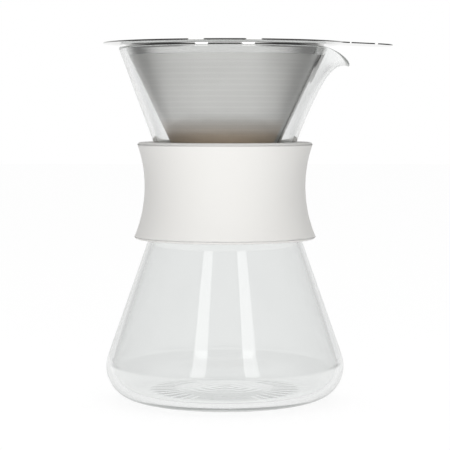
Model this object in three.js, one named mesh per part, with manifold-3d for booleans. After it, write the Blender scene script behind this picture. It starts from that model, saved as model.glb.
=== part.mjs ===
import * as THREE from 'three';
import { mergeVertices } from 'three/addons/utils/BufferGeometryUtils.js';
import Module from 'manifold-3d';

// A glass coffee maker: an hourglass carafe with a pouring lip, a thick silicone band round its waist,
// and a double-walled steel cone filter that hangs in the mouth from a plate with a lifting tab.
// Millimetres, +Z up. The origin is the middle of the foot, and +X points out over the lip and the tab.

// Glass body
const glassHeight = 168.6; // table to the top of the rim
const footRadius = 38; // flat that stands on the table
const soleRound = 25; // gentle outside curve next to the flat
const soleTurn = THREE.MathUtils.degToRad(20); // how far the gentle curve turns up
const heelRound = 16; // tighter outside curve from there up to the lower cone
const waistRadius = 29.4; // outside, at the narrowest
const waistHeight = 104.1;
const waistRound = 36; // hollow curve of the waist, outside
const rimRadius = 50.7; // outside of the rim
const glassWall = 2; // from the waist up
const heelWall = 3.5; // at the heel, where the glass has settled
const glassFloor = 4.6; // at the middle of the foot
const rimCorner = 0.4; // rounding of the two edges of the rim's flat top

// Pouring lip, where the upper wall curls outwards
const lipLength = 47.4; // length of wall that bends, measured down from the rim
const lipDraw = 0.8; // extra length that the wall gains at the middle of the lip
const lipFlare = THREE.MathUtils.degToRad(11.5); // even part of the bend, from its start to the tip
const lipCurl = THREE.MathUtils.degToRad(96); // late part of the bend, next to the tip
const lipCurlPower = 7.5; // how late along the wall the curl comes
const lipHalfAngle = THREE.MathUtils.degToRad(26); // where the rim is round again, seen from above

// Silicone grip band
const bandAbove = 19.6; // top edge above the waist
const bandBelow = 26.6; // bottom edge below the waist
const bandThickness = 8.7; // at the waist
const bandHollow = 61; // radius of the hollow outside
const bandHollowDrop = 1.5; // the hollow's deepest point lies this far below the waist
const bandEdgeRound = 2;
const bandClearance = 0.35;

// Steel filter
const filterClearance = 1.2; // foot of the collar to the inside of the glass
const filterDepth = 19.2; // underside of the tip cup, below the waist
const filterTipRadius = 7.2; // outside of the outer cone at its lower end
const outerSheet = 0.6;
const innerMesh = 0.5;
const layerGap = 0.3; // between layers that touch on the real filter
const seatGap = 0.3; // between the plate and the rim that it rests on
const seamLap = 0.35; // how far the lapped edge of the outer cone stands proud
const seamStart = THREE.MathUtils.degToRad(-19);
const seamEnd = THREE.MathUtils.degToRad(-8);
const cupWall = 0.6;
const cupHeight = 5;

// Rim plate of the filter
const plateRadius = 58;
const plateThickness = 0.6;
const dishStart = 1.2; // the plate starts to rise this far outside the glass
const dishRise = 1.4;
const collarHeight = 1.5; // upright step below the plate, which centres it in the mouth
const skirtHeight = 2.1; // slope below the collar, which clasps the top edges of the cones
const foldRound = 0.8; // of the sheet's middle, where the plate turns down into the collar
const tabLength = 21.5; // beyond the round plate
const tabWidth = 30;
const tabDroop = 1; // the tip hangs this far below the plate's edge
const tabTipRound = 10;
const tabRootRound = 5;

// Fineness of the facets
const columns = 56; // round the axis
const arcSteps = 6; // along each round of a profile
const lipSteps = 8; // along the wall that bends into the lip
const lipStepCrowding = 1.8; // how far these steps are drawn together towards the rim
const lipSubsteps = 4; // smaller steps that each of them is summed from
const lipCrowding = 0.42; // how far the glass columns are drawn together at the lip

const wasm = await Module();
wasm.setup();

// Heights and radii that the pieces share
const plateSeat = glassHeight + seatGap;
const bandTop = waistHeight + bandAbove;
const bandBottom = waistHeight - bandBelow;

// Geometry helpers

// A unit vector in the half plane of a profile, at an angle from the radial direction
function direction(angle) {
  return new THREE.Vector2(Math.cos(angle), Math.sin(angle));
}

// Points along an arc of a profile
function arc(center, radius, from, to, steps = arcSteps) {
  const points = [];
  for (let i = 0; i <= steps; i += 1) {
    const angle = THREE.MathUtils.lerp(from, to, i / steps);
    points.push(direction(angle).multiplyScalar(radius).add(center));
  }
  return points;
}

// The closed outline of a sheet of even thickness about a middle line
function thickened(line, thickness) {
  const runs = line.slice(1).map((point, i) => point.clone().sub(line[i]).normalize());
  const side = (sign) => line.map((point, i) => {
    const into = runs[Math.max(i - 1, 0)];
    const out = runs[Math.min(i, runs.length - 1)];
    const along = into.clone().add(out).normalize();
    const normal = new THREE.Vector2(along.y, -along.x);
    return normal.multiplyScalar((sign * thickness) / 2 / along.dot(out)).add(point);
  });
  return closed([...side(1), ...side(-1).reverse()]);
}

// A ring-shaped profile, run anticlockwise and closed on itself
function closed(points) {
  const outline = THREE.ShapeUtils.isClockWise(points) ? [...points].reverse() : [...points];
  return [...outline, outline[0].clone()];
}

// A profile of radius and height turned round the vertical axis
function turned(profile) {
  return new THREE.LatheGeometry(profile, columns).rotateX(Math.PI / 2);
}

// A plan outline raised between two heights
function raised(shape, low, high) {
  const settings = { depth: high - low, bevelEnabled: false, curveSegments: columns / 2 };
  return new THREE.ExtrudeGeometry(shape, settings).translate(0, 0, low);
}

function toSolid(geometry) {
  const bare = geometry.clone();
  bare.deleteAttribute('normal');
  bare.deleteAttribute('uv');
  const merged = mergeVertices(bare, 1e-3);
  const vertProperties = new Float32Array(merged.attributes.position.array);
  const triVerts = new Uint32Array(merged.index.array);
  return new wasm.Manifold(new wasm.Mesh({ numProp: 3, vertProperties, triVerts }));
}

function toGeometry(solid) {
  const mesh = solid.getMesh();
  const geometry = new THREE.BufferGeometry();
  geometry.setAttribute('position', new THREE.BufferAttribute(mesh.vertProperties, 3));
  geometry.setIndex(new THREE.BufferAttribute(mesh.triVerts, 1));
  geometry.computeVertexNormals();
  return geometry;
}

// Shape of the glass wall

const soleCenter = new THREE.Vector2(footRadius, soleRound);
const heelStart = soleTurn - Math.PI / 2;
const heelCenter = soleCenter.clone().addScaledVector(direction(heelStart), soleRound - heelRound);
const waistCenter = new THREE.Vector2(waistRadius + waistRound, waistHeight);
const rimMiddle = new THREE.Vector2(rimRadius - glassWall / 2, glassHeight);

// Slope of the normal of the lower cone, which touches the heel's round and the waist's hollow
function lowerNormal(heelRadius, hollowRadius) {
  const across = waistCenter.clone().sub(heelCenter);
  return across.angle() - Math.acos((heelRadius + hollowRadius) / across.length());
}
const outerNormal = lowerNormal(heelRound, waistRound);

// The middle of the upper wall runs from the waist's curve to the middle of the rim
const waistMiddleRound = waistRound + glassWall / 2;
const waistToRim = rimMiddle.clone().sub(waistCenter);
const upperNormal = waistToRim.angle() - Math.acos(-waistMiddleRound / waistToRim.length());
const upperLean = -upperNormal; // of the upper wall, from the vertical
const straightLength = Math.sqrt(waistToRim.lengthSq() - waistMiddleRound ** 2);
const bendLength = Math.min(lipLength, straightLength);
const bendStart = rimMiddle.clone().addScaledVector(direction(Math.PI / 2 - upperLean), -bendLength);

// The middle line of the wall that bends into the lip, with its lean from the vertical at each point
function lipLine(bend) {
  const leanAt = (share) => upperLean + bend * (lipFlare * share + lipCurl * share ** lipCurlPower);
  const length = bendLength + lipDraw * bend;
  const point = bendStart.clone();
  const line = [{ point: point.clone(), lean: upperLean }];
  let reached = 0;
  for (let i = 1; i <= lipSteps; i += 1) {
    const share = 1 - (1 - i / lipSteps) ** lipStepCrowding;
    const step = (share - reached) / lipSubsteps;
    for (let k = 0; k < lipSubsteps; k += 1) {
      const lean = leanAt(reached + (k + 0.5) * step);
      point.addScaledVector(direction(Math.PI / 2 - lean), length * step);
    }
    line.push({ point: point.clone(), lean: leanAt(share) });
    reached = share;
  }
  return line;
}

// One side of the wall, from the foot up to the rim: at a depth below the outside in the heel,
// and from the waist up at a distance out from the wall's middle line
function glassSide(depth, offset, line) {
  const hollow = waistMiddleRound - offset;
  const slope = lowerNormal(heelRound - depth, hollow);
  const sole = arc(soleCenter, soleRound - depth, -Math.PI / 2, heelStart, arcSteps / 2);
  const heel = arc(heelCenter, heelRound - depth, heelStart, slope);
  heel.shift();
  const waist = arc(waistCenter, hollow, Math.PI + slope, Math.PI + upperNormal);
  const wall = line.map(({ point, lean }) => direction(-lean).multiplyScalar(offset).add(point));
  wall.pop();
  return [...sole, ...heel, ...waist, ...wall];
}

// The flat top of the rim between its two rounded edges, level where the wall doesn't bend
function rimTop({ point, lean }) {
  const facing = Math.PI / 2 + upperLean - lean;
  const edgeCenter = (side) => {
    const out = side * (glassWall / 2 - rimCorner);
    const up = (out * Math.sin(upperLean) - rimCorner) / Math.cos(upperLean);
    const center = direction(-lean).multiplyScalar(out).add(point);
    return center.addScaledVector(direction(Math.PI / 2 - lean), up);
  };
  return [
    ...arc(edgeCenter(1), rimCorner, -lean, facing, arcSteps / 2),
    ...arc(edgeCenter(-1), rimCorner, facing, Math.PI - lean, arcSteps / 2),
  ];
}

// The profile of the glass, from the middle of the foot, up the outside, over the rim and down again
function glassProfile(bend) {
  const line = lipLine(bend);
  const inside = glassSide(heelWall, -glassWall / 2, line).reverse();
  const floorAt = (share) => THREE.MathUtils.lerp(glassFloor, heelWall, share ** 2);
  const floorHalfway = new THREE.Vector2(footRadius / 2, floorAt(1 / 2));
  const floorMiddle = new THREE.Vector2(0, glassFloor);
  return [
    new THREE.Vector2(0, 0),
    ...glassSide(0, glassWall / 2, line),
    ...rimTop(line[line.length - 1]),
    ...inside,
    floorHalfway,
    floorMiddle,
  ];
}

// How much of the full curl the rim has at an angle from the middle of the lip
function lipBend(azimuth) {
  const share = Math.min(Math.abs(azimuth) / lipHalfAngle, 1);
  return Math.cos((share * Math.PI) / 2) ** 2;
}

function glassBody() {
  const count = glassProfile(0).length;
  const geometry = turned(glassProfile(0));
  const position = geometry.attributes.position;
  for (let i = 0; i <= columns; i += 1) {
    const even = (2 * Math.PI * i) / columns - Math.PI;
    const azimuth = even - lipCrowding * Math.sin(even);
    const profile = glassProfile(lipBend(azimuth));
    for (let j = 0; j < count; j += 1) {
      const { x: radius, y: height } = profile[j];
      const turn = direction(i === columns ? -Math.PI : azimuth);
      position.setXYZ(i * count + j, radius * turn.x, radius * turn.y, height);
    }
  }
  geometry.computeVertexNormals();
  return geometry;
}

// Outside radius of the glass at a height between the heel and the lip
function glassRadiusAt(height) {
  const lowerEnd = direction(Math.PI + outerNormal).multiplyScalar(waistRound).add(waistCenter);
  const upperStart = direction(Math.PI + upperNormal).multiplyScalar(waistRound).add(waistCenter);
  if (height < lowerEnd.y) {
    return lowerEnd.x + (lowerEnd.y - height) * Math.tan(outerNormal);
  }
  if (height > upperStart.y) {
    return upperStart.x + (height - upperStart.y) * Math.tan(upperLean);
  }
  return waistCenter.x - Math.sqrt(waistRound ** 2 - (height - waistHeight) ** 2);
}

// Band round the waist: it hugs the glass and is hollow outside, with rounded edges
function gripBand() {
  const hollowHeight = waistHeight - bandHollowDrop;
  const hollowCenter = waistRadius + bandClearance + bandThickness + bandHollow;
  const angleAt = (height) => Math.asin((height - hollowHeight) / bandHollow);
  const outsideAt = (height) => hollowCenter - bandHollow * Math.cos(angleAt(height));
  const insideAt = (height) => glassRadiusAt(height) + bandClearance;

  const outline = new THREE.Path();
  const firstHeight = bandBottom + bandEdgeRound;
  const lastHeight = bandTop - bandEdgeRound;
  outline.moveTo(insideAt(bandBottom), bandBottom);
  outline.lineTo(outsideAt(bandBottom) - bandEdgeRound, bandBottom);
  outline.quadraticCurveTo(outsideAt(bandBottom), bandBottom, outsideAt(firstHeight), firstHeight);
  outline.absarc(
    hollowCenter, hollowHeight, bandHollow,
    Math.PI - angleAt(firstHeight), Math.PI - angleAt(lastHeight), true,
  );
  outline.quadraticCurveTo(outsideAt(bandTop), bandTop, outsideAt(bandTop) - bandEdgeRound, bandTop);
  outline.lineTo(insideAt(bandTop), bandTop);
  const insideSteps = 2 * arcSteps;
  for (let i = 1; i < insideSteps; i += 1) {
    const height = THREE.MathUtils.lerp(bandTop, bandBottom, i / insideSteps);
    outline.lineTo(insideAt(height), height);
  }
  return turned(closed(outline.getPoints(arcSteps - 1)));
}

// Shape of the filter's cones

const coneTop = plateSeat - collarHeight;
const mouthRadius = glassRadiusAt(coneTop) - glassWall / Math.cos(upperLean); // at the collar's foot
const collarRadius = mouthRadius - filterClearance - plateThickness / 2; // middle of the sheet
const coneTopRadius = collarRadius - plateThickness / 2 - layerGap;
const skirtBottom = coneTop - skirtHeight;
const cupBottom = waistHeight - filterDepth;
const coneBottom = cupBottom + cupWall + layerGap;
const coneTaper = (coneTopRadius - filterTipRadius) / (coneTop - coneBottom);
const coneLean = Math.atan(coneTaper);

// A point at a height on a cone that lies a distance outside the outer cone's surface
function onCone(height, distance) {
  const radius = filterTipRadius + (height - coneBottom) * coneTaper + distance / Math.cos(coneLean);
  return new THREE.Vector2(radius, height);
}

// A conical sheet between two distances from the outer cone's surface
function coneSheet(outside, inside) {
  return turned(closed([
    onCone(coneBottom, outside),
    onCone(coneTop, outside),
    onCone(coneTop, inside),
    onCone(coneBottom, inside),
  ]));
}

// Outer cone: a sheet rolled up, with its free edge lapped over itself along a seam
function outerCone() {
  const sheet = toSolid(coneSheet(0, -outerSheet));
  const lapped = toSolid(coneSheet(seamLap, -outerSheet / 2));
  const sector = new THREE.Shape();
  const reach = plateRadius;
  sector.moveTo(0, 0);
  sector.lineTo(reach * Math.cos(seamStart), reach * Math.sin(seamStart));
  sector.lineTo(reach * Math.cos(seamEnd), reach * Math.sin(seamEnd));
  const seam = lapped.intersect(toSolid(raised(sector, coneBottom + cupHeight, skirtBottom - layerGap)));
  return toGeometry(sheet.add(seam));
}

// Inner cone of fine mesh, just inside the outer one
const meshOutside = -outerSheet - layerGap;
const meshInside = meshOutside - innerMesh;

function innerCone() {
  return coneSheet(meshOutside, meshInside);
}

// Cup that closes the lower ends of both cones
function tipCup() {
  const cupInside = layerGap;
  const cupOutside = layerGap + cupWall;
  const floor = cupBottom + cupWall;
  return turned([
    new THREE.Vector2(0, cupBottom),
    onCone(cupBottom, cupOutside),
    onCone(cupBottom + cupHeight, cupOutside),
    onCone(cupBottom + cupHeight, cupInside),
    onCone(floor, cupInside),
    new THREE.Vector2(0, floor),
  ]);
}

// Plan of the rim plate: a disc with a tab that runs into it in two hollow curves
function platePlan() {
  const tip = plateRadius + tabLength;
  const half = tabWidth / 2;
  const tipRound = Math.min(tabTipRound, half);
  const sideEnd = tip - tipRound;
  const roomForRoot = (sideEnd ** 2 - plateRadius ** 2 + half ** 2) / (2 * (plateRadius - half));
  const rootRound = Math.min(tabRootRound, roomForRoot);
  const rootX = Math.sqrt((plateRadius + rootRound) ** 2 - (half + rootRound) ** 2);
  const rootY = half + rootRound;
  const rootAngle = Math.atan2(rootY, rootX);

  const plan = new THREE.Shape();
  plan.absarc(0, 0, plateRadius, rootAngle, 2 * Math.PI - rootAngle, false);
  plan.absarc(rootX, -rootY, rootRound, Math.PI - rootAngle, Math.PI / 2, true);
  plan.lineTo(sideEnd, -half);
  plan.absarc(sideEnd, -half + tipRound, tipRound, -Math.PI / 2, 0, false);
  plan.absarc(sideEnd, half - tipRound, tipRound, 0, Math.PI / 2, false);
  plan.lineTo(rootX, half);
  plan.absarc(rootX, rootY, rootRound, -Math.PI / 2, Math.PI + rootAngle, true);
  return plan;
}

// Rim plate: a skirt round the cones, a collar, a flat that sits on the rim, a dished edge and the tab
function rimPlate() {
  const middle = plateSeat + plateThickness / 2;
  const skirtFoot = onCone(skirtBottom, 0);
  skirtFoot.x += collarRadius - coneTopRadius;
  const foldCenter = new THREE.Vector2(collarRadius + foldRound, middle - foldRound);
  const fold = arc(foldCenter, foldRound, Math.PI, Math.PI / 2, arcSteps / 2);
  const edge = plateRadius - plateThickness;
  const past = plateRadius + tabLength + plateThickness;
  const droop = tabDroop / tabLength;
  const section = thickened([
    skirtFoot,
    new THREE.Vector2(collarRadius, coneTop),
    ...fold,
    new THREE.Vector2(rimRadius + dishStart, middle),
    new THREE.Vector2(edge, middle + dishRise),
    new THREE.Vector2(plateRadius + plateThickness, middle + dishRise),
    new THREE.Vector2(past, middle + dishRise - droop * (past - plateRadius)),
  ], plateThickness);
  const low = skirtBottom - tabDroop - plateThickness;
  const high = middle + dishRise + plateThickness;
  return toGeometry(toSolid(turned(section)).intersect(toSolid(raised(platePlan(), low, high))));
}

// Materials
const clearGlass = new THREE.MeshStandardMaterial({
  color: 0xe4ebe8, roughness: 0.03, metalness: 0, transparent: true, opacity: 0.35,
});
const silicone = new THREE.MeshStandardMaterial({ color: 0xece9e3, roughness: 0.62, metalness: 0 });
const polishedSteel = new THREE.MeshStandardMaterial({ color: 0xc9cac8, roughness: 0.14, metalness: 1 });
const perforatedSteel = new THREE.MeshStandardMaterial({ color: 0xb4b3ae, roughness: 0.38, metalness: 1 });
const fineMesh = new THREE.MeshStandardMaterial({ color: 0xa9a8a3, roughness: 0.45, metalness: 1 });

// Assembly
function named(name, geometry, material) {
  const mesh = new THREE.Mesh(geometry, material);
  mesh.name = name;
  return mesh;
}

const carafe = new THREE.Group();
carafe.add(named('glass_body', glassBody(), clearGlass));
carafe.add(named('grip_band', gripBand(), silicone));

const filter = new THREE.Group();
filter.add(named('filter_rim_plate', rimPlate(), polishedSteel));
filter.add(named('filter_outer_cone', outerCone(), perforatedSteel));
filter.add(named('filter_inner_mesh', innerCone(), fineMesh));
filter.add(named('filter_tip_cup', tipCup(), polishedSteel));

const coffeeMaker = new THREE.Group();
coffeeMaker.add(carafe, filter);

export default coffeeMaker;
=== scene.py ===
import math

import bmesh
import bpy
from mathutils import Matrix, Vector


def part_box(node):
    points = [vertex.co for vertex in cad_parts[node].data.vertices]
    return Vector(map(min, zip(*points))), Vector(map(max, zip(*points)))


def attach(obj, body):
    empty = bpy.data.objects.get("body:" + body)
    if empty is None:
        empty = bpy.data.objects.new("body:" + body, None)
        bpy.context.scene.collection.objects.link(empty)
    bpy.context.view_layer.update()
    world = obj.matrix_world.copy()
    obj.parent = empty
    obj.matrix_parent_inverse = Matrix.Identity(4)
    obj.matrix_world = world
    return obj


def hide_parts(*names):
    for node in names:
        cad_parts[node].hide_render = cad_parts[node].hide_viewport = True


# A glass coffee maker: an hourglass carafe with a pouring lip, a silicone band round its waist and a
# steel cone filter that hangs in the mouth from a plate with a tab. +X points out over lip and tab.

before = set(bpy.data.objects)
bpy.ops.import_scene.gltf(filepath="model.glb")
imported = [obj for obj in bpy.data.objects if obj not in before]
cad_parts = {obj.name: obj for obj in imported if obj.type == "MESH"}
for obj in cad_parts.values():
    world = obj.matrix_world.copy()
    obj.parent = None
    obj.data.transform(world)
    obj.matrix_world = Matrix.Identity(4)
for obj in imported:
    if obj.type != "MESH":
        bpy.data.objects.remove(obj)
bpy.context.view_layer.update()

MM = 0.001

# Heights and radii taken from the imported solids
_, glass_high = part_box("glass_body")
band_low, band_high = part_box("grip_band")
_, plate_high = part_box("filter_rim_plate")
cone_low, cone_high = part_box("filter_outer_cone")
mesh_low, mesh_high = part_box("filter_inner_mesh")
cup_low, cup_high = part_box("filter_tip_cup")

# Glass body
glass_height = glass_high.z
foot_radius = 38 * MM
sole_round = 25 * MM
sole_turn = math.radians(20)
heel_round = 16 * MM
waist_radius = 29.4 * MM
waist_height = 104.1 * MM
waist_round = 36 * MM
rim_radius = 50.7 * MM
glass_wall = 2 * MM
heel_wall = 3.5 * MM
glass_floor = 4.6 * MM
rim_corner = 0.4 * MM
grip_ridges = 36
grip_ridge_height = 0.3 * MM
grip_ridge_start = 24 * MM
grip_ridge_end = 35 * MM
grip_ridge_aside = 0.45
grip_ridge_fade = 0.2
grip_ridge_end_fade = 1 * MM
grip_ridge_roughness = 0.5
ripple_height = 0.05 * MM
ripple_pitch = 5 * MM
ripple_reach = 24 * MM

# Pouring lip
lip_length = 47.4 * MM
lip_draw = 0.8 * MM
lip_flare = math.radians(11.5)
lip_curl = math.radians(96)
lip_curl_power = 7.5
lip_half_angle = math.radians(26)
lip_crowding = 1.8
lip_edge_round = 0.9 * MM
lip_edge_zone = 0.95 * glass_wall
drawn_rise = 12 * MM

# Silicone band
band_thickness = 8.7 * MM
band_hollow = 61 * MM
band_hollow_drop = 1.5 * MM
band_edge_round = 2 * MM
band_inner_round = 0.5 * MM
band_clearance = 0.35 * MM

# Steel filter
filter_clearance = 1.2 * MM
tip_radius = 7.2 * MM
outer_sheet = 0.6 * MM
inner_mesh = 0.5 * MM
layer_gap = 0.3 * MM
seam_lap = 0.35 * MM
seam_start = math.radians(-19)
seam_end = math.radians(-8)
seam_shade = 0.9 * MM
# Distance from the seam that the painted reflection on the lower cone keeps off
seam_reflection_gap = 6 * MM
cup_wall = 0.6 * MM
cup_round = 1.2 * MM
cup_height = cup_high.z - cup_low.z

# Rim plate of the filter
plate_radius = plate_high.y
plate_thickness = 0.6 * MM
plate_edge_round = 0.06 * MM
dish_start = 1.2 * MM
dish_rise = 0.75 * MM
collar_height = 1.5 * MM
skirt_height = 2.1 * MM
collar_corner = 0.1 * MM
fold_round = 0.32 * MM
tab_length = plate_high.x - plate_radius
tab_width = 30 * MM
tab_droop = 1 * MM
tab_tip_round = 10 * MM
tab_root_round = 5 * MM
tab_root_cut = 0.2 * MM

# Fineness of the meshes
glass_columns = 288
steel_columns = 360
plate_columns = 720
arc_steps = 16
straight_steps = 10
lip_steps = 30
tab_rows = 12
rim_top_steps = 8
edge_steps = 3
edge_sharpness = math.radians(50)
merge_distance = 0.001 * MM
same_place = 0.01 * MM

# Holes and wires of the filter
hole_count = 200
hole_pitch = 1.3 * MM
hole_radius = 0.3 * MM
hole_shade = 0.15
row_shade = 0.055
plain_top = 5 * MM
plain_top_fade = 0.2 * MM
# Heights over which the painted reflection of the band's warm, shaded inner face comes in on the lower cone
band_reflection_top = 137 * MM
band_reflection_full = 124 * MM
wire_count = 420
wire_pitch = 0.55 * MM
wire_core = 0.08 * MM
warp_edge = 0.2 * MM
weft_edge = 0.22 * MM

# Studio
camera_distance = 885 * MM
camera_height = 138.3 * MM
camera_tilt = math.radians(3.515)
camera_lens = 148
strip_turn = math.radians(26)
strip_distance = 1.0
strip_width = 0.25
strip_bottom = 0.07
strip_top = 0.77
strip_power = 1.0
fill_distance = 1.3
fill_height = 0.45
fill_width = 1.0
fill_drop = 0.6
fill_power = 5.4
backdrop_level = 1.0
backdrop_falloff = 1.6
overhead_level = 0.95
overhead_start = 0.4
overhead_end = 0.9
room_level = 0.05
floor_size = 8.0
floor_drop = 0.3 * MM
floor_colour = 0.2
floor_glow = 0.86
pool_shift = 0.025
pool_inner = 0.175
pool_outer = 0.425
pool_aside_start = 0.48
pool_aside_end = 0.9
pool_aside_share = 0.15


# Profiles in the half plane of radius and height

def heading(angle):
    return Vector((math.cos(angle), math.sin(angle)))


def arc(center, radius, start, end, steps=arc_steps):
    """Points along an arc, both ends included."""
    return [center + radius * heading(start + (end - start) * i / steps) for i in range(steps + 1)]


def straight(first, last, steps=straight_steps):
    """Points between two ends, without the ends."""
    return [first.lerp(last, i / steps) for i in range(1, steps)]


# Shape of the glass wall

sole_center = Vector((foot_radius, sole_round))
heel_start = sole_turn - math.pi / 2
heel_center = sole_center + (sole_round - heel_round) * heading(heel_start)
waist_center = Vector((waist_radius + waist_round, waist_height))
rim_middle = Vector((rim_radius - glass_wall / 2, glass_height))

waist_middle_round = waist_round + glass_wall / 2
waist_to_rim = rim_middle - waist_center
upper_normal = math.atan2(waist_to_rim.y, waist_to_rim.x)
upper_normal -= math.acos(-waist_middle_round / waist_to_rim.length)
upper_lean = -upper_normal
wall_along = heading(math.pi / 2 - upper_lean)
wall_out = heading(-upper_lean)
bend_start = rim_middle - lip_length * wall_along


def lower_slope(heel_radius, hollow_radius):
    """Slope of the normal of the lower cone, which touches the heel's round and the waist's hollow."""
    across = waist_center - heel_center
    turn = math.atan2(across.y, across.x)
    return turn - math.acos((heel_radius + hollow_radius) / across.length)


def wall_side(depth, side):
    """One side of the glass from the foot to the rim, side is 1 outside and -1 inside."""
    offset = side * glass_wall / 2
    hollow = waist_middle_round - offset
    slope = lower_slope(heel_round - depth, hollow)
    points = arc(sole_center, sole_round - depth, -math.pi / 2, heel_start, arc_steps // 2)
    points += arc(heel_center, heel_round - depth, heel_start, slope, 2 * arc_steps)[1:]
    waist = arc(waist_center, hollow, math.pi + slope, math.pi + upper_normal)
    points += straight(points[-1], waist[0])
    points += waist
    foot_of_bend = bend_start + offset * wall_out
    points += straight(waist[-1], foot_of_bend, 4)
    run = lip_length - glass_wall
    for i in range(lip_steps + 1):
        share = 1 - (1 - i / lip_steps) ** lip_crowding
        points.append(foot_of_bend + share * run * wall_along)
    return points


def rim_edge(side):
    """The rounding of the outer or inner edge of the rim's level top."""
    out = side * (glass_wall / 2 - rim_corner)
    up = (out * math.sin(upper_lean) - rim_corner) / math.cos(upper_lean)
    center = rim_middle + out * wall_out + up * wall_along
    if side > 0:
        return arc(center, rim_corner, -upper_lean, math.pi / 2, arc_steps // 2)
    return arc(center, rim_corner, math.pi / 2, math.pi - upper_lean, arc_steps // 2)


def glass_profile():
    """From the middle of the foot, up the outside, over the rim, down the inside to the floor."""
    middle = Vector((0, 0))
    underside = [middle] + straight(middle, Vector((foot_radius, 0)), 2 * arc_steps)
    outer_edge = rim_edge(1)
    inner_edge = rim_edge(-1)
    rim = outer_edge + straight(outer_edge[-1], inner_edge[0], rim_top_steps) + inner_edge
    floor = []
    floor_steps = 3 * arc_steps
    for i in range(floor_steps - 1, -1, -1):
        share = i / floor_steps
        radius = share * foot_radius
        height = glass_floor + (heel_wall - glass_floor) * share ** 2
        fade = max(1 - radius / ripple_reach, 0)
        height += ripple_height * fade * math.cos(2 * math.pi * radius / ripple_pitch)
        floor.append(Vector((radius, height)))
    inside = wall_side(heel_wall, -1)
    return underside + wall_side(0, 1) + rim + inside[::-1] + floor


def lip_bend(azimuth):
    """Share of the full curl at an angle from the middle of the lip."""
    share = min(abs(azimuth) / lip_half_angle, 1)
    return math.cos(share * math.pi / 2) ** 2


def lip_lean(bend, share):
    """Lean of the wall at a share of the way to the edge of the lip."""
    return upper_lean + bend * (lip_flare * share + lip_curl * share ** lip_curl_power)


def lip_line(bend):
    """Middle line of the wall that curls outwards, as points with their lean."""
    steps = 4 * lip_steps
    step = (lip_length + lip_draw * bend) / steps
    point = bend_start.copy()
    line = [(point.copy(), upper_lean)]
    for i in range(steps):
        lean = lip_lean(bend, (i + 0.5) / steps)
        point += step * heading(math.pi / 2 - lean)
        line.append((point.copy(), lip_lean(bend, (i + 1) / steps)))
    return line


def glass_radius_at(height):
    """Outside radius of the glass between the heel and the lip."""
    slope = lower_slope(heel_round, waist_round)
    lower_end = waist_center + waist_round * heading(math.pi + slope)
    upper_start = waist_center + waist_round * heading(math.pi + upper_normal)
    if height < lower_end.y:
        return lower_end.x + (lower_end.y - height) * math.tan(slope)
    if height > upper_start.y:
        return upper_start.x + (height - upper_start.y) * math.tan(upper_lean)
    return waist_center.x - math.sqrt(waist_round ** 2 - (height - waist_height) ** 2)


# Shape of the filter's cones

cone_top = cone_high.z
cone_bottom = cone_low.z
mouth_radius = glass_radius_at(cone_top) - glass_wall / math.cos(upper_lean)
collar_radius = mouth_radius - filter_clearance - plate_thickness / 2
cone_top_radius = collar_radius - plate_thickness / 2 - layer_gap
cone_taper = (cone_top_radius - tip_radius) / (cone_top - cone_bottom)
cone_lean = math.atan(cone_taper)


def on_cone(height, distance):
    """A point at a height, a distance outside the outer cone's surface."""
    radius = tip_radius + (height - cone_bottom) * cone_taper + distance / math.cos(cone_lean)
    return Vector((radius, height))


# Mesh making

def spun(profile, columns, closed=False):
    """A profile turned round the vertical axis."""
    bm = bmesh.new()
    verts = [bm.verts.new((point.x, 0, point.y)) for point in profile]
    pairs = list(zip(verts, verts[1:]))
    if closed:
        pairs.append((verts[-1], verts[0]))
    edges = [bm.edges.new(pair) for pair in pairs]
    bmesh.ops.spin(
        bm, geom=verts + edges, cent=(0, 0, 0), axis=(0, 0, 1),
        angle=2 * math.pi, steps=columns, use_merge=True,
    )
    bmesh.ops.remove_doubles(bm, verts=bm.verts, dist=merge_distance)
    bmesh.ops.recalc_face_normals(bm, faces=bm.faces)
    return bm


def round_ring(bm, corner, offset, segments):
    """Bevels the ring of edges at one corner of a turned profile."""
    def at_corner(vert):
        return (Vector((vert.co.xy.length, vert.co.z)) - corner).length < same_place

    ring = [edge for edge in bm.edges if all(at_corner(vert) for vert in edge.verts)]
    bmesh.ops.bevel(
        bm, geom=ring, offset=offset, offset_type="OFFSET", segments=segments,
        profile=0.5, affect="EDGES", material=-1,
    )


def finished(name, bm, material, body, node):
    """Makes the piece that stands for a CAD node and rides on its body."""
    for face in bm.faces:
        face.smooth = True
    mesh = bpy.data.meshes.new(name)
    bm.to_mesh(mesh)
    bm.free()
    mesh.materials.append(material)
    piece = bpy.data.objects.new(name, mesh)
    bpy.context.scene.collection.objects.link(piece)
    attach(piece, body)
    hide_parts(node)
    return piece


def thicken(piece, thickness, offset):
    wall = piece.modifiers.new("Sheet thickness", "SOLIDIFY")
    wall.thickness = thickness
    wall.offset = offset
    wall.use_even_offset = True


def ease_edges(piece, width):
    edge = piece.modifiers.new("Eased edges", "BEVEL")
    edge.width = width
    edge.segments = edge_steps
    edge.limit_method = "ANGLE"
    edge.angle_limit = edge_sharpness
    edge.harden_normals = True


# Pieces

def press_ridges(bm):
    """Short ridges to either side under the foot."""
    for vert in bm.verts:
        if vert.co.z < grip_ridge_height and grip_ridge_start < vert.co.xy.length < grip_ridge_end:
            azimuth = math.atan2(vert.co.y, vert.co.x)
            aside = (abs(math.cos(azimuth)) - grip_ridge_aside) / grip_ridge_fade
            aside = min(max(aside, 0), 1)
            vert.co.z += aside * grip_ridge_height * (1 + math.cos(grip_ridges * azimuth)) / 2


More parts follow.
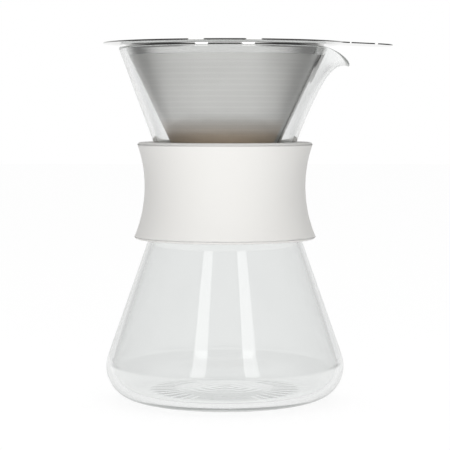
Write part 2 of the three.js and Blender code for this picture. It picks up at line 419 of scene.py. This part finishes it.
def curl_lip(bm):
    """Bends the upper wall outwards round the middle of the lip."""
    lines = {}
    for vert in bm.verts:
        azimuth = math.atan2(vert.co.y, vert.co.x)
        bend = lip_bend(azimuth)
        from_start = Vector((vert.co.xy.length, vert.co.z)) - bend_start
        along = from_start.dot(wall_along)
        across = from_start.dot(wall_out)
        if bend == 0 or along <= 0 or vert.co.z < waist_height:
            continue
        if along > lip_length - lip_edge_zone:
            side = min(abs(2 * across / glass_wall), 1)
            along -= lip_edge_round * bend * (1 - math.sqrt(1 - side ** 2))
        key = round(bend, 6)
        if key not in lines:
            lines[key] = lip_line(bend)
        line = lines[key]
        place = min(along / lip_length, 1) * (len(line) - 1)
        index = min(int(place), len(line) - 2)
        (first, first_lean), (last, last_lean) = line[index], line[index + 1]
        lean = first_lean + (last_lean - first_lean) * (place - index)
        point = first.lerp(last, place - index)
        point += across * heading(-lean)
        point += max(along - lip_length, 0) * heading(math.pi / 2 - lean)
        vert.co = (point.x * math.cos(azimuth), point.x * math.sin(azimuth), point.y)


def make_glass_body(material):
    bm = spun(glass_profile(), glass_columns)
    press_ridges(bm)
    curl_lip(bm)
    return finished("carafe_glass", bm, material, "carafe", "glass_body")


def make_grip_band(material):
    hollow_height = waist_height - band_hollow_drop
    hollow_center = waist_radius + band_clearance + band_thickness + band_hollow
    steps = 3 * arc_steps

    def outside(height):
        reach = math.sqrt(band_hollow ** 2 - (height - hollow_height) ** 2)
        return Vector((hollow_center - reach, height))

    def inside(height):
        return Vector((glass_radius_at(height) + band_clearance, height))

    heights = [band_low.z + (band_high.z - band_low.z) * i / steps for i in range(steps + 1)]
    outer = [outside(height) for height in heights]
    inner = [inside(height) for height in reversed(heights)]
    bm = spun(outer + inner, glass_columns, closed=True)
    for corner in (outer[0], outer[-1]):
        round_ring(bm, corner, band_edge_round, segments=8)
    for corner in (inner[0], inner[-1]):
        round_ring(bm, corner, band_inner_round, segments=4)
    return finished("waist_band", bm, material, "carafe", "grip_band")


def tab_outline():
    """Half of the tab's edge seen from above, from its root on the plate's edge to the middle of its tip."""
    tip = plate_radius + tab_length
    half = tab_width / 2
    root_y = half + tab_root_round
    root_x = math.sqrt((plate_radius + tab_root_round) ** 2 - root_y ** 2)
    root_angle = math.atan2(root_y, root_x)
    root = arc(Vector((root_x, root_y)), tab_root_round, math.pi + root_angle, 1.5 * math.pi)
    corner_center = Vector((tip - tab_tip_round, half - tab_tip_round))
    corner = arc(corner_center, tab_tip_round, math.pi / 2, 0)
    return root + corner + [Vector((tip, 0))], root_angle


def along_outline(points, distance):
    """The point at a distance along a chain of points."""
    for first, last in zip(points, points[1:]):
        length = (last - first).length
        if distance <= length:
            return first.lerp(last, distance / length)
        distance -= length
    return points[-1]


def tab_edge(azimuth, outline, root_angle):
    """Where the plate's edge at an angle has its counterpart on the edge of the tab."""
    root = plate_radius * heading(abs(azimuth))
    root_run = plate_radius * root_angle
    edge_run = sum((last - first).length for first, last in zip(outline, outline[1:]))
    run = root_run - plate_radius * abs(azimuth)
    point = root
    if run > 0:
        point = along_outline(outline, run + (edge_run - root_run) * (run / root_run) ** 2)
    if (point - root).length < tab_root_cut:
        point = root
    side = math.copysign(1, azimuth)
    return Vector((root.x, side * root.y)), Vector((point.x, side * point.y))


def grow_tab(bm, edge_height):
    """Pulls the tab out of the plate's edge in rows that follow its outline."""
    outline, root_angle = tab_outline()

    def on_tab_root(vert):
        at_edge = abs(vert.co.xy.length - plate_radius) < same_place
        return at_edge and abs(math.atan2(vert.co.y, vert.co.x)) < root_angle

    row = [edge for edge in bm.edges if edge.is_boundary and all(on_tab_root(v) for v in edge.verts)]
    turn = bm.verts.layers.float.new("turn")
    for edge in row:
        for vert in edge.verts:
            vert[turn] = math.atan2(vert.co.y, vert.co.x)
    for i in range(1, tab_rows + 1):
        grown = bmesh.ops.extrude_edge_only(bm, edges=row)["geom"]
        verts = [item for item in grown if isinstance(item, bmesh.types.BMVert)]
        for vert in verts:
            root, edge_point = tab_edge(vert[turn], outline, root_angle)
            rows = max(round(tab_rows * (edge_point - root).length / tab_length), 1)
            plan = root.lerp(edge_point, min(i / rows, 1))
            droop = tab_droop * max(plan.length - plate_radius, 0) / tab_length
            vert.co = (plan.x, plan.y, edge_height - droop)
        row = [item for item in grown if isinstance(item, bmesh.types.BMEdge)]
        row = [edge for edge in row if all(vert in verts for vert in edge.verts)]


def make_rim_plate(material):
    middle = plate_high.z - dish_rise - plate_thickness / 2
    outside_cone = Vector((collar_radius - cone_top_radius, 0))
    skirt_foot = on_cone(cone_top - skirt_height, 0) + outside_cone
    collar_foot = on_cone(middle - plate_thickness / 2 - collar_height, 0) + outside_cone
    fold_center = Vector((collar_foot.x + fold_round, middle - fold_round))
    fold = arc(fold_center, fold_round, math.pi, math.pi / 2, arc_steps // 2)
    flat_end = Vector((rim_radius + dish_start, middle))
    skirt_along = (collar_foot - skirt_foot).normalized()
    upright = Vector((0, 1))
    corner = [collar_foot - i * collar_corner * skirt_along for i in (2, 1)]
    corner += [collar_foot + i * collar_corner * upright for i in (1, 2)]
    section = [skirt_foot] + straight(skirt_foot, corner[0], 4) + corner + fold
    section += straight(fold[-1], flat_end, 4)
    dish_steps = arc_steps // 2
    for i in range(dish_steps + 1):
        share = i / dish_steps
        radius = flat_end.x + share * (plate_radius - flat_end.x)
        section.append(Vector((radius, middle + dish_rise * math.sin(share * math.pi / 2))))
    bm = spun(section, plate_columns)
    grow_tab(bm, middle + dish_rise)
    bmesh.ops.remove_doubles(bm, verts=bm.verts, dist=same_place)
    bmesh.ops.recalc_face_normals(bm, faces=bm.faces)
    piece = finished("filter_plate", bm, material, "filter", "filter_rim_plate")
    thicken(piece, plate_thickness, 0)
    ease_edges(piece, plate_edge_round)
    return piece


def make_outer_cone(material):
    foot = on_cone(cone_bottom, 0)
    seam_foot = on_cone(cup_low.z + cup_height + layer_gap, 0)
    seam_head = on_cone(cone_top - skirt_height - layer_gap, 0)
    head = on_cone(cone_top, 0)
    line = [foot, seam_foot] + straight(seam_foot, seam_head) + [seam_head, head]
    bm = spun(line, steel_columns)
    lapped = []
    for face in bm.faces:
        place = face.calc_center_median()
        azimuth = math.atan2(place.y, place.x)
        if seam_start < azimuth < seam_end and seam_foot.y < place.z < seam_head.y:
            lapped.append(face)
    raised = bmesh.ops.extrude_face_region(bm, geom=lapped)["geom"]
    bmesh.ops.delete(bm, geom=lapped, context="FACES_ONLY")
    for vert in raised:
        if isinstance(vert, bmesh.types.BMVert):
            out = seam_lap * math.cos(cone_lean)
            vert.co.xy *= 1 + out / vert.co.xy.length
            vert.co.z -= seam_lap * math.sin(cone_lean)
    bmesh.ops.recalc_face_normals(bm, faces=bm.faces)
    piece = finished("filter_cone", bm, material, "filter", "filter_outer_cone")
    thicken(piece, outer_sheet, -1)
    return piece


def make_inner_mesh(material):
    outside = -outer_sheet - layer_gap
    foot = on_cone(mesh_low.z, outside)
    head = on_cone(mesh_high.z, outside)
    bm = spun([foot] + straight(foot, head) + [head], steel_columns)
    piece = finished("filter_mesh", bm, material, "filter", "filter_inner_mesh")
    thicken(piece, inner_mesh, -1)
    return piece


def make_tip_cup(material):
    inner = layer_gap
    outer = layer_gap + cup_wall
    floor = cup_low.z + cup_wall
    corner = on_cone(cup_low.z, outer)
    profile = [
        Vector((0, cup_low.z)),
        corner,
        on_cone(cup_high.z, outer),
        on_cone(cup_high.z, inner),
        on_cone(floor, inner),
        Vector((0, floor)),
    ]
    bm = spun(profile, glass_columns)
    round_ring(bm, corner, cup_round, segments=6)
    for lip in (on_cone(cup_high.z, outer), on_cone(cup_high.z, inner)):
        round_ring(bm, lip, cup_wall / 3, segments=3)
    return finished("filter_cup", bm, material, "filter", "filter_tip_cup")


# Shader helpers

def linked(tree, socket, value):
    """Sets a socket to a plain value or links another socket to it."""
    if isinstance(value, bpy.types.NodeSocket):
        tree.links.new(value, socket)
    else:
        socket.default_value = value


def sum_of(tree, operation, first, second=0.0, third=0.0):
    """One step of arithmetic on values or sockets."""
    node = tree.nodes.new("ShaderNodeMath")
    node.operation = operation
    for socket, value in zip(node.inputs, (first, second, third)):
        linked(tree, socket, value)
    return node.outputs[0]


def ramp(tree, value, low, high, to_low=0.0, to_high=1.0):
    """Takes a value smoothly from one range to another."""
    node = tree.nodes.new("ShaderNodeMapRange")
    node.interpolation_type = "SMOOTHSTEP"
    for socket, number in zip(node.inputs, (value, low, high, to_low, to_high)):
        linked(tree, socket, number)
    return node.outputs["Result"]


def distance_of(tree, x, y):
    """Length of a step along two axes."""
    square = sum_of(tree, "MULTIPLY_ADD", x, x, sum_of(tree, "MULTIPLY", y, y))
    return sum_of(tree, "SQRT", square)


def mixed(tree, share, first, second):
    """Mixes two colours."""
    node = tree.nodes.new("ShaderNodeMix")
    node.data_type = "RGBA"
    linked(tree, node.inputs["Factor"], share)
    linked(tree, node.inputs["A"], first)
    linked(tree, node.inputs["B"], second)
    return node.outputs["Result"]


def own_place(tree):
    """Object coordinates, whole and in their three parts."""
    place = tree.nodes.new("ShaderNodeTexCoord").outputs["Object"]
    parts = tree.nodes.new("ShaderNodeSeparateXYZ")
    tree.links.new(place, parts.inputs[0])
    return place, parts.outputs


def noise(tree, place, scale, detail=3.0, distortion=0.0):
    node = tree.nodes.new("ShaderNodeTexNoise")
    tree.links.new(place, node.inputs["Vector"])
    linked(tree, node.inputs["Scale"], scale)
    node.inputs["Detail"].default_value = detail
    node.inputs["Distortion"].default_value = distortion
    return node.outputs["Fac"]


def new_group(name, inputs, outputs):
    """A shader node group with named values in and out."""
    tree = bpy.data.node_groups.new(name, "ShaderNodeTree")
    for label in inputs:
        tree.interface.new_socket(label, in_out="INPUT", socket_type="NodeSocketFloat")
    for label in outputs:
        tree.interface.new_socket(label, in_out="OUTPUT", socket_type="NodeSocketFloat")
    group_in = tree.nodes.new("NodeGroupInput").outputs
    group_out = tree.nodes.new("NodeGroupOutput").inputs
    return tree, group_in, group_out


def placed(tree, group, **values):
    """Puts a group into a material, with its own values."""
    node = tree.nodes.new("ShaderNodeGroup")
    node.node_tree = group
    for label, value in values.items():
        linked(tree, node.inputs[label.replace("_", " ").capitalize()], value)
    return node.outputs


def new_material(name, constants):
    """A material with its shader's constants set, and its tree."""
    material = bpy.data.materials.new(name)
    material.use_nodes = True
    tree = material.node_tree
    shader = tree.nodes["Principled BSDF"]
    for label, value in constants.items():
        shader.inputs[label].default_value = value
    return material, tree, shader.inputs


def bumped(tree, height, depth, strength=1.0):
    """A normal from a height, with its depth in metres."""
    node = tree.nodes.new("ShaderNodeBump")
    node.inputs["Strength"].default_value = strength
    node.inputs["Distance"].default_value = depth
    tree.links.new(height, node.inputs["Height"])
    return node.outputs["Normal"]


# Effects that several materials share

def make_handling_marks():
    """Faint smears left by hands, as a roughness between two values."""
    tree, given, result = new_group("Handling marks", ("Clean", "Smeared", "Scale"), ("Roughness",))
    place, _ = own_place(tree)
    cloud = noise(tree, place, given["Scale"], 4.0, 1.5)
    share = ramp(tree, cloud, 0.5, 0.72)
    smear = sum_of(tree, "SUBTRACT", given["Smeared"], given["Clean"])
    tree.links.new(sum_of(tree, "MULTIPLY_ADD", share, smear, given["Clean"]), result["Roughness"])
    return tree


def make_turning_lines():
    """Fine rings left by turning or polishing round the axis."""
    tree, given, result = new_group("Turning lines", ("Fineness",), ("Lines",))
    _, (x, y, z) = own_place(tree)
    radius = distance_of(tree, x, y)
    slant = sum_of(tree, "MULTIPLY_ADD", z, 1.7, radius)
    angle = sum_of(tree, "MULTIPLY", sum_of(tree, "ARCTAN2", y, x), 0.0004)
    spot = tree.nodes.new("ShaderNodeCombineXYZ")
    tree.links.new(slant, spot.inputs[0])
    tree.links.new(angle, spot.inputs[1])
    tree.links.new(noise(tree, spot.outputs[0], given["Fineness"], 3.0), result["Lines"])
    return tree


def make_cone_grid():
    """Cells in rows round the filter: place across and up each cell in metres, every other row shifted."""
    tree, given, result = new_group("Cone grid", ("Count", "Pitch", "Shift"), ("Across", "Up"))
    _, (x, y, z) = own_place(tree)
    radius = distance_of(tree, x, y)
    row = sum_of(tree, "DIVIDE", z, given["Pitch"])
    odd = sum_of(tree, "MODULO", sum_of(tree, "FLOOR", row), 2.0)
    turn = sum_of(tree, "DIVIDE", sum_of(tree, "ARCTAN2", y, x), 2 * math.pi)
    cell = sum_of(tree, "MULTIPLY", turn, given["Count"])
    cell = sum_of(tree, "MULTIPLY_ADD", odd, given["Shift"], cell)
    width = sum_of(tree, "DIVIDE", sum_of(tree, "MULTIPLY", radius, 2 * math.pi), given["Count"])
    across = sum_of(tree, "SUBTRACT", sum_of(tree, "FRACT", cell), 0.5)
    up = sum_of(tree, "SUBTRACT", sum_of(tree, "FRACT", row), 0.5)
    tree.links.new(sum_of(tree, "MULTIPLY", across, width), result["Across"])
    tree.links.new(sum_of(tree, "MULTIPLY", up, given["Pitch"]), result["Up"])
    return tree


handling_marks = make_handling_marks()
turning_lines = make_turning_lines()
cone_grid = make_cone_grid()


# Materials

def make_clear_glass():
    material, tree, shader = new_material("Clear glass", {"Transmission Weight": 1.0, "IOR": 1.47})
    place, (x, y, z) = own_place(tree)
    tint = noise(tree, place, 18.0, 2.0)
    colour = mixed(tree, tint, (0.913, 0.922, 0.918, 1), (0.923, 0.93, 0.927, 1))
    drawn_out = ramp(tree, z, band_high.z - drawn_rise, band_high.z + drawn_rise)
    colour = mixed(tree, drawn_out, colour, (0.985, 0.99, 0.988, 1))
    ridge_frost_shade = frosted_shaded_ridges(tree, x, y, z)
    # Painted shade: the ridge crests are darkened grey in the glass colour; the roughness below is their
    # ground finish.
    colour = mixed(tree, ridge_frost_shade, colour, (0.3, 0.31, 0.31, 1))
    tree.links.new(colour, shader["Base Color"])
    marks = placed(tree, handling_marks, clean=0.0, smeared=0.012, scale=35.0)
    rough = sum_of(tree, "MULTIPLY_ADD", ridge_frost_shade, grip_ridge_roughness, marks["Roughness"])
    tree.links.new(rough, shader["Roughness"])
    tree.links.new(bumped(tree, noise(tree, place, 42.0, 1.0), depth=0.02 * MM), shader["Normal"])
    lets_light_past(tree)
    return material


def frosted_shaded_ridges(tree, x, y, z):
    """Crests of the grip ridges under the foot: a mask for their rougher ground finish and for painted shade.
    """
    radius = distance_of(tree, x, y)
    turn = sum_of(tree, "MULTIPLY", sum_of(tree, "ARCTAN2", y, x), float(grip_ridges))
    crest = ramp(tree, sum_of(tree, "COSINE", turn), 0.1, 0.7)
    inner = ramp(tree, radius, grip_ridge_start, grip_ridge_start + grip_ridge_end_fade)
    outer = ramp(tree, radius, grip_ridge_end - grip_ridge_end_fade, grip_ridge_end, 1.0, 0.0)
    aside = sum_of(tree, "DIVIDE", sum_of(tree, "ABSOLUTE", x), radius)
    aside = ramp(tree, aside, grip_ridge_aside, grip_ridge_aside + grip_ridge_fade)
    under = ramp(tree, z, grip_ridge_height, 2 * grip_ridge_height, 1.0, 0.0)
    for share in (inner, outer, aside, under):
        crest = sum_of(tree, "MULTIPLY", crest, share)
    return crest


def lets_light_past(tree):
    """Shadow rays, and rays caught between the faces of the wall, go straight through."""
    output = tree.nodes["Material Output"]
    clear = tree.nodes.new("ShaderNodeBsdfTransparent")
    either = tree.nodes.new("ShaderNodeMixShader")
    path = tree.nodes.new("ShaderNodeLightPath").outputs
    dimming = mixed(tree, path["Is Shadow Ray"], (0.76, 0.77, 0.765, 1), (0.93, 0.94, 0.935, 1))
    tree.links.new(dimming, clear.inputs["Color"])
    caught = sum_of(tree, "GREATER_THAN", path["Glossy Depth"], 1.5)
    tree.links.new(sum_of(tree, "MAXIMUM", path["Is Shadow Ray"], caught), either.inputs[0])
    tree.links.new(tree.nodes["Principled BSDF"].outputs[0], either.inputs[1])
    tree.links.new(clear.outputs[0], either.inputs[2])
    tree.links.new(either.outputs[0], output.inputs["Surface"])


def make_silicone():
    constants = {
        "Sheen Weight": 0.08,
        "Specular IOR Level": 0.35,
    }
    material, tree, shader = new_material("Warm white silicone", constants)
    place, _ = own_place(tree)
    cloud = noise(tree, place, 24.0, 3.0)
    colour = mixed(tree, cloud, (0.875, 0.863, 0.835, 1), (0.895, 0.888, 0.866, 1))
    tree.links.new(colour, shader["Base Color"])
    marks = placed(tree, handling_marks, clean=0.62, smeared=0.5, scale=60.0)
    tree.links.new(marks["Roughness"], shader["Roughness"])
    grain = noise(tree, place, 1900.0, 2.0)
    tree.links.new(bumped(tree, grain, depth=0.03 * MM, strength=0.5), shader["Normal"])
    return material


def make_polished_steel():
    material, tree, shader = new_material("Polished steel", {"Metallic": 1.0})
    lines = placed(tree, turning_lines, fineness=1600.0)["Lines"]
    colour = mixed(tree, lines, (0.58, 0.58, 0.57, 1), (0.66, 0.66, 0.65, 1))
    tree.links.new(colour, shader["Base Color"])
    marks = placed(tree, handling_marks, clean=0.04, smeared=0.09, scale=70.0)
    tree.links.new(marks["Roughness"], shader["Roughness"])
    tree.links.new(bumped(tree, lines, depth=0.004 * MM), shader["Normal"])
    return material


def make_perforated_steel():
    material, tree, shader = new_material("Perforated steel", {})
    place, (x, y, z) = own_place(tree)
    grid = placed(tree, cone_grid, count=hole_count, pitch=hole_pitch, shift=0.5)
    from_hole = distance_of(tree, grid["Across"], grid["Up"])
    hole = ramp(tree, from_hole, hole_radius * 0.8, hole_radius, 1.0, 0.0)
    plain_edge = cone_top - plain_top
    below_top = ramp(tree, z, plain_edge - plain_top_fade, plain_edge, 1.0, 0.0)
    hole = sum_of(tree, "MULTIPLY", hole, below_top)
    cloud = noise(tree, place, 30.0, 3.0)
    steel = mixed(tree, cloud, (0.61, 0.605, 0.59, 1), (0.67, 0.665, 0.65, 1))
    turn = sum_of(tree, "SUBTRACT", sum_of(tree, "ARCTAN2", y, x), seam_start)
    from_seam = sum_of(tree, "MULTIPLY", sum_of(tree, "ABSOLUTE", turn), distance_of(tree, x, y))
    # Painted reflection: towards the bottom the cone turns brown and less metallic, standing in for the
    # band's warm, shaded inner face mirrored in it.
    band_reflection_share = ramp(tree, z, band_reflection_top, band_reflection_full)
    band_reflection_share = sum_of(tree, "MULTIPLY", band_reflection_share, ramp(tree, from_seam, seam_reflection_gap / 2, seam_reflection_gap))
    steel = mixed(tree, band_reflection_share, steel, (0.54, 0.42, 0.31, 1))
    tree.links.new(ramp(tree, band_reflection_share, 0.0, 1.0, 0.8, 0.15), shader["Metallic"])
    seam = ramp(tree, from_seam, seam_shade / 2, seam_shade, 0.8, 0.0)
    rows = placed(tree, cone_grid, count=hole_count, pitch=2 * hole_pitch, shift=0.5)
    from_row = sum_of(tree, "ABSOLUTE", rows["Up"])
    row = ramp(tree, from_row, 0.2 * hole_pitch, 0.5 * hole_pitch, row_shade, 0.0)
    shade = sum_of(tree, "MULTIPLY_ADD", hole, hole_shade, sum_of(tree, "MULTIPLY", row, below_top))
    shade = sum_of(tree, "MAXIMUM", shade, seam)
    tree.links.new(mixed(tree, shade, steel, (0.16, 0.155, 0.15, 1)), shader["Base Color"])
    marks = placed(tree, handling_marks, clean=0.34, smeared=0.4, scale=40.0)
    tree.links.new(marks["Roughness"], shader["Roughness"])
    pressed = sum_of(tree, "SUBTRACT", 1.0, hole)
    tree.links.new(bumped(tree, pressed, depth=0.05 * MM, strength=0.4), shader["Normal"])
    return material


def make_fine_mesh():
    material, tree, shader = new_material("Fine mesh", {"Metallic": 1.0})
    place, _ = own_place(tree)
    grid = placed(tree, cone_grid, count=wire_count, pitch=wire_pitch, shift=0.5)
    across = sum_of(tree, "ABSOLUTE", grid["Across"])
    up = sum_of(tree, "ABSOLUTE", grid["Up"])
    warp = ramp(tree, across, wire_core, warp_edge, 1.0, 0.0)
    weft = ramp(tree, up, wire_core, weft_edge, 1.0, 0.0)
    wires = sum_of(tree, "MAXIMUM", warp, weft)
    cloud = noise(tree, place, 45.0, 3.0)
    steel = mixed(tree, cloud, (0.56, 0.555, 0.54, 1), (0.64, 0.635, 0.62, 1))
    # Painted shade: the openings between the wires are coloured dark.
    tree.links.new(mixed(tree, wires, (0.2, 0.195, 0.19, 1), steel), shader["Base Color"])
    marks = placed(tree, handling_marks, clean=0.38, smeared=0.46, scale=40.0)
    tree.links.new(marks["Roughness"], shader["Roughness"])
    tree.links.new(bumped(tree, wires, depth=0.1 * MM, strength=0.7), shader["Normal"])
    return material


# Studio

def seen_directly(tree):
    """1 for rays from the camera, straight or through clear glass, and 0 for all others."""
    path = tree.nodes.new("ShaderNodeLightPath").outputs
    unmirrored = sum_of(tree, "LESS_THAN", path["Glossy Depth"], 0.5)
    unscattered = sum_of(tree, "LESS_THAN", path["Diffuse Depth"], 0.5)
    through = sum_of(tree, "MULTIPLY", path["Is Transmission Ray"], unmirrored)
    through = sum_of(tree, "MULTIPLY", through, unscattered)
    return sum_of(tree, "MAXIMUM", path["Is Camera Ray"], through)


def make_world():
    """White where it is seen directly, and a soft studio for light and reflections."""
    world = bpy.data.worlds.new("Studio")
    world.use_nodes = True
    tree = world.node_tree
    direction = tree.nodes.new("ShaderNodeTexCoord").outputs["Generated"]
    parts = tree.nodes.new("ShaderNodeSeparateXYZ")
    tree.links.new(direction, parts.inputs[0])
    _, back, up = parts.outputs
    behind = sum_of(tree, "POWER", sum_of(tree, "MAXIMUM", back, 0.0), backdrop_falloff)
    behind = sum_of(tree, "MULTIPLY", behind, backdrop_level - room_level)
    overhead = ramp(tree, up, overhead_start, overhead_end, 0.0, overhead_level - room_level)
    level = sum_of(tree, "ADD", sum_of(tree, "MAXIMUM", behind, overhead), room_level)
    level = sum_of(tree, "MAXIMUM", level, seen_directly(tree))
    background = tree.nodes["Background"].inputs
    background["Color"].default_value = (1, 1, 1, 1)
    tree.links.new(level, background["Strength"])
    bpy.context.scene.world = world


def make_floor():
    bm = bmesh.new()
    bmesh.ops.create_grid(bm, x_segments=8, y_segments=8, size=floor_size / 2)
    bmesh.ops.translate(bm, vec=(0, 0, -floor_drop), verts=bm.verts)
    mesh = bpy.data.meshes.new("studio_floor")
    bm.to_mesh(mesh)
    bm.free()
    floor = bpy.data.objects.new("studio_floor", mesh)
    bpy.context.scene.collection.objects.link(floor)
    material = bpy.data.materials.new("White floor")
    material.use_nodes = True
    tree = material.node_tree
    tree.nodes.remove(tree.nodes["Principled BSDF"])
    _, (x, y, _) = own_place(tree)
    # Painted light: for reflections and scattered light the floor glows as a pool round the object, dimmer
    # out to the sides; seen directly it glows evenly white.
    x = sum_of(tree, "ADD", x, pool_shift)
    reach = distance_of(tree, x, y)
    aside = sum_of(tree, "DIVIDE", sum_of(tree, "ABSOLUTE", x), reach)
    aside = ramp(tree, aside, pool_aside_start, pool_aside_end)
    dimmed = sum_of(tree, "MULTIPLY", aside, ramp(tree, reach, pool_inner, pool_outer))
    pool = ramp(tree, dimmed, 0.0, 1.0, floor_glow, floor_glow * pool_aside_share)
    direct = sum_of(tree, "MULTIPLY", seen_directly(tree), floor_glow)
    glow = tree.nodes.new("ShaderNodeEmission")
    tree.links.new(sum_of(tree, "MAXIMUM", pool, direct), glow.inputs["Strength"])
    cloth = tree.nodes.new("ShaderNodeBsdfDiffuse")
    cloth.inputs["Color"].default_value = (floor_colour, floor_colour, floor_colour, 1)
    both = tree.nodes.new("ShaderNodeAddShader")
    tree.links.new(cloth.outputs[0], both.inputs[0])
    tree.links.new(glow.outputs[0], both.inputs[1])
    tree.links.new(both.outputs[0], tree.nodes["Material Output"].inputs["Surface"])
    mesh.materials.append(material)


def make_soft_box(name, place, target, width, height, power):
    """A soft rectangular light that the camera does not see."""
    light = bpy.data.lights.new(name, "AREA")
    light.shape = "RECTANGLE"
    light.size = width
    light.size_y = height
    light.energy = power
    lamp = bpy.data.objects.new(name, light)
    bpy.context.scene.collection.objects.link(lamp)
    lamp.location = place
    lamp.rotation_euler = (target - place).to_track_quat("-Z", "Y").to_euler()
    lamp.visible_camera = False
    return lamp


def make_strip_light(name, side):
    """An upright strip in front, to the left or right, whose reflection runs down the glass."""
    middle = (strip_top + strip_bottom) / 2
    aside = side * strip_distance * math.sin(strip_turn)
    place = Vector((aside, -strip_distance * math.cos(strip_turn), middle))
    make_soft_box(name, place, Vector((0, 0, middle)), strip_width, strip_top - strip_bottom, strip_power)


def make_fill_light():
    """A wide soft light by the camera that leaves no reflection of its own."""
    place = Vector((0, -fill_distance, fill_height))
    lamp = make_soft_box("front_fill", place, Vector((0, 0, waist_height)), fill_width, fill_drop, fill_power)
    lamp.visible_glossy = False
    lamp.visible_transmission = False


def make_camera():
    lens = bpy.data.cameras.new("Photo camera")
    lens.lens = camera_lens
    lens.sensor_width = 36
    camera = bpy.data.objects.new("Photo camera", lens)
    bpy.context.scene.collection.objects.link(camera)
    camera.location = (0, -camera_distance, camera_height)
    camera.rotation_euler = (math.pi / 2 - camera_tilt, 0, 0)
    bpy.context.scene.camera = camera


# Assembly

make_camera()
make_world()
make_floor()
make_strip_light("left_strip", -1)
make_strip_light("right_strip", 1)
make_fill_light()

polished_steel = make_polished_steel()
make_glass_body(make_clear_glass())
make_grip_band(make_silicone())
make_rim_plate(polished_steel)
make_outer_cone(make_perforated_steel())
make_inner_mesh(make_fine_mesh())
make_tip_cup(polished_steel)

bpy.context.scene.view_settings.view_transform = "Standard"
